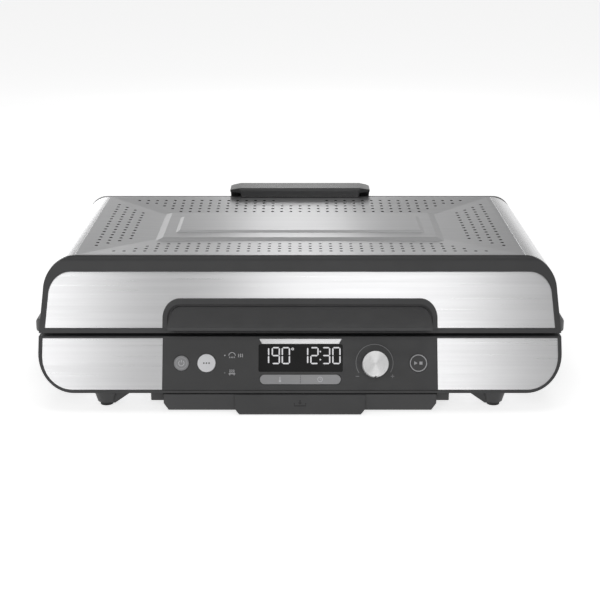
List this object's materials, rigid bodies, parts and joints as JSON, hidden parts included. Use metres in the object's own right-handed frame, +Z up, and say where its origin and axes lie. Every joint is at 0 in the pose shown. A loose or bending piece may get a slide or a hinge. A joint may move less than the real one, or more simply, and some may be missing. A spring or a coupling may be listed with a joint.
{
  "type": "electric indoor grill",
  "caption": "Countertop electric grill with a hinged, perforated lid, ribbed plate, front controls with a knob and display, and a pull-out drip tray.",
  "frame": {"origin": "bottom centre of the whole grill's box, on the plane of the feet and midway between them", "axes": "+X to the right seen from the front, +Y to the back, +Z up"},
  "size_m": [0.5574, 0.357, 0.1552],
  "materials": {
    "black_housing": "fine matt",
    "black_glossy": "satin",
    "window_black": "gloss",
    "steel_brushed": "brushed",
    "steel_sheet": "satin",
    "zinc_steel": "zinc plated",
    "aluminised_steel": "dull",
    "knob_metal": "spun",
    "trim_silver": "satin",
    "button_grey": "satin",
    "button_silver": "satin",
    "key_grey": "satin",
    "rubber_black": "matt",
    "plate_coating": "non-stick coating",
    "element_sheath": "oxidised",
    "ceramic_white": "ceramic",
    "board_green": "varnished",
    "module_white": "moulded",
    "sensor_brass": "turned"
  },
  "bodies": {
    "base": {"base_shell": "black_housing", "base_deck": "black_housing", "bottom_cover": "zinc_steel", "base_panel_left": "steel_brushed", "base_panel_right": "steel_brushed", "control_fascia": "black_glossy", "display_trim": "trim_silver", "display_window": "window_black", "display_module": "module_white", "control_board": "board_green", "button_switches": "zinc_steel", "key_pivot": "module_white", "knob_encoder": "zinc_steel", "power_board": "board_green", "well_liner": "aluminised_steel", "heat_shield": "aluminised_steel", "heating_element": "element_sheath", "element_supports": "zinc_steel", "terminal_block": "ceramic_white", "temperature_sensor": "sensor_brass", "thermal_fuse": "ceramic_white", "grease_chute": "aluminised_steel", "cable_gland": "rubber_black", "cable_inlet_plate": "black_housing", "hinge_bracket_left": "black_housing", "hinge_bracket_right": "black_housing", "hinge_pins": "zinc_steel", "foot_front_left": "black_housing", "foot_front_right": "black_housing", "foot_rear_left": "black_housing", "foot_rear_right": "black_housing", "foot_pads": "rubber_black", "tray_rail_left": "black_housing", "tray_rail_right": "black_housing", "side_handle_left": "black_housing", "side_handle_right": "black_housing", "case_screws": "zinc_steel"},
    "lid": {"lid_top": "steel_sheet", "lid_side_left": "steel_brushed", "lid_side_right": "steel_brushed", "lid_front_frame": "black_housing", "lid_front_panel": "steel_brushed", "lid_rear_frame": "black_housing", "lid_rim_frame": "zinc_steel", "lid_handle": "black_housing", "lid_hinge_cover": "black_housing", "lid_hinge_arm_left": "black_housing", "lid_hinge_arm_right": "black_housing", "lid_screws": "zinc_steel"},
    "plate": {"grill_plate": "plate_coating"},
    "tray": {"drip_tray": "black_housing", "tray_pull": "black_housing"},
    "knob": {"knob_cap": "knob_metal", "knob_core": "black_housing", "encoder_shaft": "zinc_steel"},
    "power_button": {"power_button": "button_grey"},
    "mode_button": {"mode_button": "button_silver"},
    "start_button": {"start_button": "black_housing"},
    "temp_time_key": {"temp_time_key": "key_grey"}
  },
  "joints": [
    {"name": "lid_hinge", "type": "hinge", "parent": "base", "child": "lid", "pos_m": [0, 0.17048, 0.0725], "axis": [-1, 0, 0], "range_deg": [0, 95]},
    {"name": "plate_lift", "type": "slide", "parent": "base", "child": "plate", "axis": [0, 0, 1], "range_m": [0, 0.045]},
    {"name": "tray_slide", "type": "slide", "parent": "base", "child": "tray", "axis": [0, -1, 0], "range_m": [0, 0.2]},
    {"name": "knob_turn", "type": "hinge", "parent": "base", "child": "knob", "pos_m": [0.0742, -0.15645, 0.04477], "axis": [0, 0.9063, -0.4226], "continuous": true},
    {"name": "power_press", "type": "slide", "parent": "base", "child": "power_button", "axis": [0, 0.9063, -0.4226], "range_m": [0, 0.001], "stiffness_N_per_m": 300},
    {"name": "mode_press", "type": "slide", "parent": "base", "child": "mode_button", "axis": [0, 0.9063, -0.4226], "range_m": [0, 0.001], "stiffness_N_per_m": 300},
    {"name": "start_press", "type": "slide", "parent": "base", "child": "start_button", "axis": [0, 0.9063, -0.4226], "range_m": [0, 0.001], "stiffness_N_per_m": 300},
    {"name": "key_rock", "type": "hinge", "parent": "base", "child": "temp_time_key", "pos_m": [0.0003, -0.15805, 0.02951], "axis": [0, 0.4226, 0.9063], "range_deg": [-1.5, 1.5], "stiffness_Nm_per_rad": 0.2}
  ]
}
